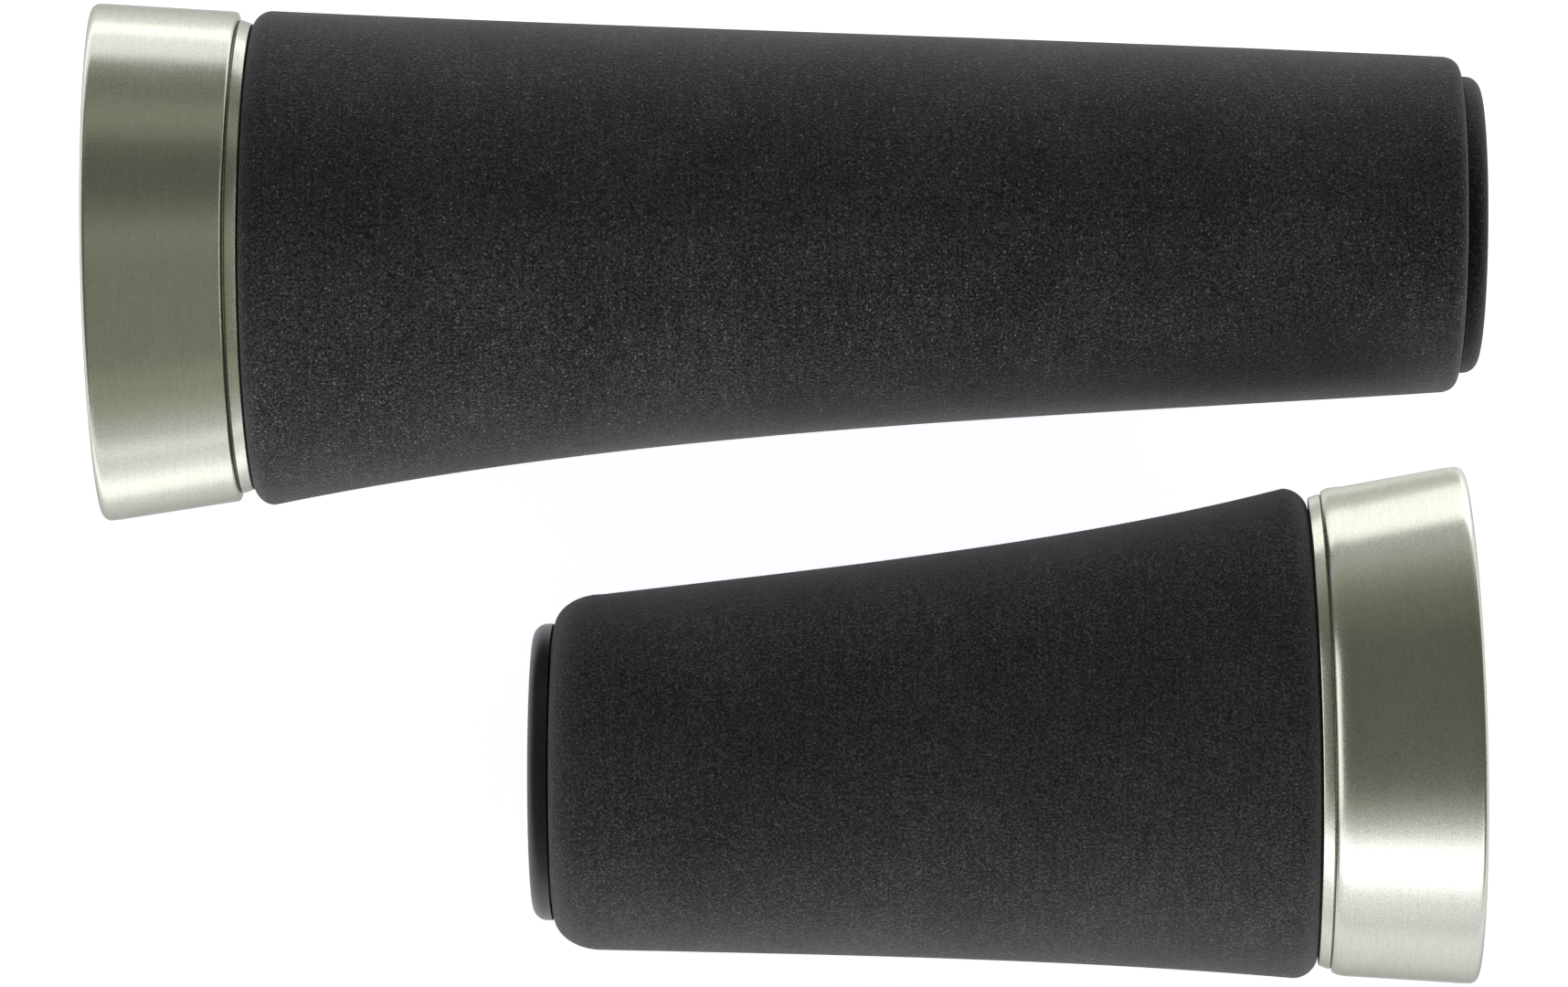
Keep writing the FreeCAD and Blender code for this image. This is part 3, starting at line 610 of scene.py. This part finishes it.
def skin(side, name, hoops, bows, rises, around=288):
    """Closed shell through the hoops, the last joined to the first, with its "lay" map."""
    lie = lie_of(side)
    shell = bmesh.new()
    lay = shell.loops.layers.uv.new("lay")
    rows = []
    for number, (x, wing, front, high, slant) in enumerate(hoops):
        lean = math.tan(math.radians(slant))
        row = []
        for step in range(around):
            turn = 2.0 * math.pi * step / around - math.pi / 2.0
            y = (wing - front) / 2.0 + (wing + front) / 2.0 * math.cos(turn)
            z = high * math.sin(turn)
            back = y * lean + bows[number] * (y / wing_reach) ** 2 - rises[number] * z
            spot = Vector((x - back, y, z)) * MM
            row.append(shell.verts.new(lie @ spot))
        rows.append(row)
    for number, row in enumerate(rows):
        other = rows[(number + 1) % len(rows)]
        for step in range(around):
            after = (step + 1) % around
            face = shell.faces.new((row[step], row[after], other[after], other[step]))
            face.smooth = True
            places = ((number, step), (number, step + 1), (number + 1, step + 1), (number + 1, step))
            for loop, (u, v) in zip(face.loops, places):
                loop[lay].uv = (u / len(rows), v / around)
    bmesh.ops.recalc_face_normals(shell, faces=shell.faces)
    mesh = bpy.data.meshes.new("%s_%s" % (side, name))
    shell.to_mesh(mesh)
    shell.free()
    mesh.set_sharp_from_angle(angle=crease)
    return mesh


def satin_nickel(name):
    nickel = Finish(name, (0.6, 0.6, 0.53), 0.22, 1.0)
    nickel.shader.inputs["Specular Tint"].default_value = (0.45, 0.455, 0.43, 1.0)
    brushed = nickel.noise(nickel.grid(6000.0, 30.0), 1.0, 4.0, 0.65)
    smudge = nickel.noise(nickel.spot, 55.0, 3.0, 0.55)
    sparkle = nickel.noise(nickel.spot, 6500.0, 2.0, 0.75)
    tone = nickel.calc("MULTIPLY_ADD", brushed, 0.25, nickel.calc("MULTIPLY", sparkle, 0.75))
    shade = nickel.span(tone, 0.32, 0.68, 0.0, 1.0)
    nickel.colour(nickel.tint(shade, (0.5, 0.5, 0.43), (0.71, 0.71, 0.625)))
    mixed = nickel.calc("MULTIPLY_ADD", smudge, 0.5, nickel.calc("MULTIPLY", sparkle, 0.5))
    nickel.roughness(nickel.span(mixed, 0.3, 0.7, 0.19, 0.31))
    nickel.relief(brushed, 0.00002, 0.2)
    nickel.relief(sparkle, 0.000012, 0.35)
    return nickel


for side in SIDES:
    nickel = satin_nickel(side + "_satin_nickel")
    plate, web = (corner.x for corner in spread_of(side, "backing_ring"))
    plate_in = tuple(size - plate_step[side] - plate_draft for size in ring_in)
    plate_out = tuple(size - plate_step[side] for size in ring_in)
    hoops = quarter(plate, plate_round, plate_in, 1, steps=6)
    hoops += [(plate + plate_land, *plate_out, 0.0), (web - plate_bevel, *plate_out, 0.0)]
    hoops += [(web, *(size - plate_bevel for size in plate_out), 0.0)]
    hoops += [(end, plate_bore, plate_bore, plate_bore, 0.0) for end in (web, plate)]
    hoops = [(*hoop[:4], inner_slant[side]) for hoop in hoops]
    rises = [ring_rise[side][0] if hoop[1] > plate_bore else 0.0 for hoop in hoops]
    mesh = skin(side, "backing_plate", hoops, [ring_bow[side]] * len(hoops), rises)
    add_piece(side, "backing_plate", mesh, nickel, "grip", "satin_nickel", "backing_ring")

    mouth = web + ring_deep
    recess = tuple(size - ring_wall for size in ring_in)
    shape = quarter(web, inner_round[side], ring_in, 1, inner_slant[side], 14, plate_step[side] - 0.1)
    wall_start, wall_end = web + inner_round[side], mouth - rim_round - rim_run_in
    for number in range(1, wall_rows):
        share = number / wall_rows
        spot = wall_start + share * (wall_end - wall_start)
        outline = [a + (b - a) * share for a, b in zip(ring_in, ring_out)]
        slant = inner_slant[side] + (ring_slant - inner_slant[side]) * share
        shape.append((spot, *outline, slant))
    shape += quarter(mouth, rim_round, ring_out, -1, ring_slant, steps=8)
    edge = tuple(size - rim_round - lip_width for size in ring_out)
    shape.append((mouth, *edge, ring_slant))
    shape.append((mouth - lip_step, *(size - lip_step for size in edge), ring_slant))
    shape.append((mouth - lip_deep, *recess, ring_slant))
    shape.append((web + web_thick + recess_fillet, *recess, 0.0))
    shape.append((web + web_thick, *(size - recess_fillet for size in recess), 0.0))
    shape.append((web + web_thick, bolt_hole, bolt_hole, bolt_hole, 0.0))
    shape.append((web, bolt_hole, bolt_hole, bolt_hole, 0.0))
    shape.append((web, web_seat, web_seat, web_seat, 0.0))
    bows, rises = [], []
    inner_rise, mouth_rise = ring_rise[side]
    for hoop in shape:
        share = min(max((hoop[0] - web) / (mouth - web), 0.0), 1.0)
        bows.append(ring_bow[side] + (mouth_bow - ring_bow[side]) * share)
        inside = hoop[1] <= recess[0] and share < 0.5
        rises.append(0.0 if inside else inner_rise + (mouth_rise - inner_rise) * share)
    mesh = skin(side, "ring_casting", shape, bows, rises)
    ring = add_piece(side, "ring_casting", mesh, nickel, "grip", "satin_nickel", "end_ring")
    for piece in (ring, bpy.data.objects[side + "_backing_plate"]):
        metal_of[side].objects.link(piece)


# ---------------------------------------------------------------------------------------------
# end_cover: a snap-in cap moulded in black plastic, its face spark-eroded to a fine grain, with a
# raised border and a skirt that springs into the ring's recess.
# ---------------------------------------------------------------------------------------------
cover_gap, cover_sunk, cover_thick, cover_round = 0.15, 0.9, 1.8, 0.8
skirt_long, skirt_wall, skirt_step = 3.2, 1.3, 0.2
lead_long, lead_inset = 0.5, 0.45
# Behind its border the face is dished: inset from the outline and drop, each at one oval.
face_dish = ((1.6, 0.0), (1.9, 0.22), (6.0, 0.16), (10.0, 0.12), (14.0, 0.1))
face_middle, middle_drop = 0.05, 0.1
cap = Finish("spark_textured_cap", (0.02, 0.02, 0.021), 0.5)
cap_grain = cap.noise(cap.spot, 2600.0, 3.0, 0.6)
cap_shade = cap.span(cap_grain, 0.35, 0.65, 0.0, 1.0)
cap.colour(cap.tint(cap_shade, (0.012, 0.012, 0.013), (0.03, 0.03, 0.031)))
cap.roughness(cap.span(cap_grain, 0.3, 0.7, 0.42, 0.62))
cap.relief(cap_grain, 0.00008, 0.5)
for side in SIDES:
    web = spread_of(side, "backing_ring")[1].x
    face = web + ring_deep - cover_sunk
    outline = tuple(size - ring_wall - cover_gap for size in ring_in)
    inner = tuple(size - skirt_wall for size in outline)
    skirt = tuple(size - skirt_step for size in outline)
    back = face - cover_thick
    hoops = [(back - skirt_long, *inner, 0.0)]
    hoops += [(back - skirt_long, *(size - lead_inset for size in outline), 0.0)]
    hoops += [(back - skirt_long + lead_long, *skirt, 0.0)]
    hoops += [(back, *skirt, ring_slant), (back, *outline, ring_slant)]
    hoops += quarter(face, cover_round, outline, -1, ring_slant, steps=8)
    for inset, drop in face_dish:
        hoops.append((face - drop, *(size - inset for size in outline), ring_slant))
    for spot in (face - middle_drop, back):
        hoops.append((spot, face_middle, face_middle, face_middle, ring_slant))
    hoops.append((back, *inner, ring_slant))
    rises = [ring_rise[side][1]] * len(hoops)
    mesh = skin(side, "snap_cap", hoops, [mouth_bow] * len(hoops), rises, around=192)
    add_piece(side, "snap_cap", mesh, cap, "cover", "cover_plastic", "end_cover")


# ---------------------------------------------------------------------------------------------
# core_sleeve: the nylon tube under the rubber, of which the inboard flange and the bar bore show.
# The long grip's is moulded in a grainy tool, the short one's in a polished one.
# ---------------------------------------------------------------------------------------------
def moulded_nylon(name, colour, roughness, grain_depth, speck):
    nylon = Finish(name, colour, roughness)
    grain = nylon.noise(nylon.spot, 3000.0, 3.0, 0.65)
    lighter = tuple(amount * speck for amount in colour)
    nylon.colour(nylon.tint(nylon.span(grain, 0.54, 0.76, 0.0, 1.0), colour, lighter))
    nylon.roughness(nylon.span(grain, 0.3, 0.7, roughness - 0.06, roughness + 0.08))
    nylon.relief(grain, grain_depth, 0.6)
    return nylon


cores = {"left": moulded_nylon("grainy_nylon", (0.0035, 0.0035, 0.0038), 0.62, 0.0003, 20.0),
         "right": moulded_nylon("smooth_nylon", (0.013, 0.013, 0.014), 0.36, 0.00002, 2.5)}
for side in SIDES:
    core = frame["nodes"][side + "_core_sleeve"]
    core.data.materials.clear()
    core.data.materials.append(cores[side].material)


# ---------------------------------------------------------------------------------------------
# ring_screws: four M3 low-head cap screws in black zinc per ring, with a rolled thread and a
# hexagon key. One screw is made and set at the four places by geometry nodes.
# ---------------------------------------------------------------------------------------------
zinc = Finish("black_zinc", (0.03, 0.03, 0.032), 0.38, 0.85)
zinc_stain = zinc.noise(zinc.spot, 500.0, 4.0, 0.6)
zinc_scratch = zinc.noise(zinc.spot, 5200.0, 2.0, 0.6)
zinc_shade = zinc.span(zinc_stain, 0.35, 0.7, 0.0, 1.0)
zinc.colour(zinc.tint(zinc_shade, (0.03, 0.03, 0.033), (0.075, 0.072, 0.07)))
zinc.roughness(zinc.span(zinc_stain, 0.3, 0.7, 0.3, 0.48))
zinc.relief(zinc_scratch, 0.00002, 0.4)

screws = bpy.data.node_groups.new("four_screws", "GeometryNodeTree")
screws.interface.new_socket("Geometry", in_out="OUTPUT", socket_type="NodeSocketGeometry")
screw_sizes = {"Seat": 0.0, "Near": 14.0, "Far": 18.0, "Side": 4.0, "Head Radius": 2.75,
               "Head High": 2.0, "Shank Radius": 1.45, "Shank Length": 8.0, "Key Radius": 1.155,
               "Key Deep": 1.3}
# The shank runs a little into the head, and the key stands a little proud of it, for clean cuts.
shank_overlap, key_proud = 0.05, 0.02
for label in screw_sizes:
    screws.interface.new_socket(label, in_out="INPUT", socket_type="NodeSocketFloat")
screws.interface.new_socket("Finish", in_out="INPUT", socket_type="NodeSocketMaterial")
screw_in = screws.nodes.new("NodeGroupInput")
screw_out = screws.nodes.new("NodeGroupOutput")
size = screw_in.outputs


def screw_calc(operation, first, second=0.0, third=0.0):
    return work(screws, operation, first, second, third)


def rod(radius, length, middle, sides):
    """Cylinder along Z whose middle stands at a height."""
    solid = screws.nodes.new("GeometryNodeMeshCylinder")
    solid.inputs["Vertices"].default_value = sides
    feed(screws, radius, solid.inputs["Radius"])
    feed(screws, length, solid.inputs["Depth"])
    lift = screws.nodes.new("ShaderNodeCombineXYZ")
    feed(screws, middle, lift.inputs["Z"])
    moved = screws.nodes.new("GeometryNodeTransform")
    feed(screws, solid.outputs["Mesh"], moved.inputs["Geometry"])
    feed(screws, lift.outputs[0], moved.inputs["Translation"])
    return moved.outputs[0]


half_head = screw_calc("MULTIPLY", size["Head High"], 0.5)
half_shank = screw_calc("MULTIPLY", size["Shank Length"], -0.5)
key_middle = screw_calc("SUBTRACT", size["Head High"], screw_calc("MULTIPLY", size["Key Deep"], 0.5))
head = rod(size["Head Radius"], size["Head High"], half_head, 48)
shank = rod(size["Shank Radius"], size["Shank Length"], screw_calc("ADD", half_shank, shank_overlap), 24)
key = rod(size["Key Radius"], screw_calc("ADD", size["Key Deep"], key_proud),
          screw_calc("ADD", key_middle, key_proud / 2.0), 6)
joined = screws.nodes.new("GeometryNodeMeshBoolean")
joined.operation = "UNION"
screws.links.new(head, joined.inputs["Mesh 2"])
screws.links.new(shank, joined.inputs["Mesh 2"])
keyed = screws.nodes.new("GeometryNodeMeshBoolean")
keyed.operation = "DIFFERENCE"
feed(screws, joined.outputs["Mesh"], keyed.inputs["Mesh 1"])
screws.links.new(key, keyed.inputs["Mesh 2"])
spots = screws.nodes.new("GeometryNodePoints")
spots.inputs["Count"].default_value = 4
number = screws.nodes.new("GeometryNodeInputIndex").outputs[0]
is_front = screw_calc("COMPARE", number, 0.0, 0.1)
is_wing = screw_calc("COMPARE", number, 1.0, 0.1)
is_upper = screw_calc("COMPARE", number, 2.0, 0.1)
is_lower = screw_calc("COMPARE", number, 3.0, 0.1)
across = screw_calc("MULTIPLY", is_front, screw_calc("MULTIPLY", size["Near"], -1.0))
across = screw_calc("MULTIPLY_ADD", is_wing, size["Far"], across)
across = screw_calc("MULTIPLY_ADD", screw_calc("ADD", is_upper, is_lower), size["Side"], across)
upward = screw_calc("MULTIPLY", screw_calc("SUBTRACT", is_upper, is_lower), size["Near"])
seat = screws.nodes.new("ShaderNodeCombineXYZ")
feed(screws, size["Seat"], seat.inputs["X"])
feed(screws, across, seat.inputs["Y"])
feed(screws, upward, seat.inputs["Z"])
feed(screws, seat.outputs[0], spots.inputs["Position"])
copies = screws.nodes.new("GeometryNodeInstanceOnPoints")
feed(screws, spots.outputs[0], copies.inputs["Points"])
feed(screws, keyed.outputs["Mesh"], copies.inputs["Instance"])
turned = screws.nodes.new("FunctionNodeEulerToRotation")
screw_turn = screws.nodes.new("ShaderNodeCombineXYZ")
screw_turn.inputs["Y"].default_value = math.pi / 2.0
feed(screws, screw_turn.outputs[0], turned.inputs[0])
feed(screws, turned.outputs[0], copies.inputs["Rotation"])
whole = screws.nodes.new("GeometryNodeRealizeInstances")
feed(screws, copies.outputs[0], whole.inputs[0])
dressed = screws.nodes.new("GeometryNodeSetMaterial")
feed(screws, whole.outputs[0], dressed.inputs["Geometry"])
screws.links.new(size["Finish"], dressed.inputs["Material"])
feed(screws, dressed.outputs[0], screw_out.inputs[0])

for side in SIDES:
    screw_sizes["Seat"] = spread_of(side, "backing_ring")[1].x + web_thick
    mesh = grown(side + "_cap_screws", screws, screw_sizes, zinc, lie_of(side))
    mesh.materials.clear()
    mesh.set_sharp_from_angle(angle=crease)
    add_piece(side, "cap_screws", mesh, zinc, "grip", "fastener_steel", "ring_screws")


# ---------------------------------------------------------------------------------------------
# expander: an M5 bolt and washer in black zinc draw an aluminium cone nut into a glass-filled
# nylon collet, which jams inside the bar. They keep their CAD shapes and get their finishes.
# ---------------------------------------------------------------------------------------------
glass_nylon = Finish("glass_filled_nylon", (0.05, 0.05, 0.052), 0.55)
fibre = glass_nylon.noise(glass_nylon.spot, 1800.0, 5.0, 0.7)
fibre_shade = glass_nylon.span(fibre, 0.4, 0.65, 0.0, 1.0)
glass_nylon.colour(glass_nylon.tint(fibre_shade, (0.03, 0.03, 0.032), (0.085, 0.085, 0.088)))
glass_nylon.roughness(glass_nylon.span(fibre, 0.3, 0.7, 0.45, 0.68))
glass_nylon.relief(fibre, 0.00005, 0.5)

turned_alloy = Finish("turned_aluminium", (0.62, 0.62, 0.61), 0.3, 1.0)
wave = turned_alloy.node("ShaderNodeTexWave", bands_direction="X")
turned_alloy.join(turned_alloy.spot, wave.inputs["Vector"])
wave.inputs["Scale"].default_value = 1400.0
wave.inputs["Distortion"].default_value = 0.6
haze = turned_alloy.noise(turned_alloy.spot, 700.0, 3.0, 0.6)
haze_shade = turned_alloy.span(haze, 0.35, 0.65, 0.0, 1.0)
turned_alloy.colour(turned_alloy.tint(haze_shade, (0.55, 0.55, 0.54), (0.68, 0.68, 0.67)))
turned_alloy.roughness(turned_alloy.span(haze, 0.3, 0.7, 0.24, 0.4))
turned_alloy.relief(wave.outputs["Fac"], 0.00003, 0.5)

expander_finish = {"expander_washer": zinc, "expander_bolt": zinc, "expander_collet": glass_nylon,
                   "expander_nut": turned_alloy}
for side in SIDES:
    for piece, finish in expander_finish.items():
        node = frame["nodes"]["%s_%s" % (side, piece)]
        node.data.materials.clear()
        node.data.materials.append(finish.material)
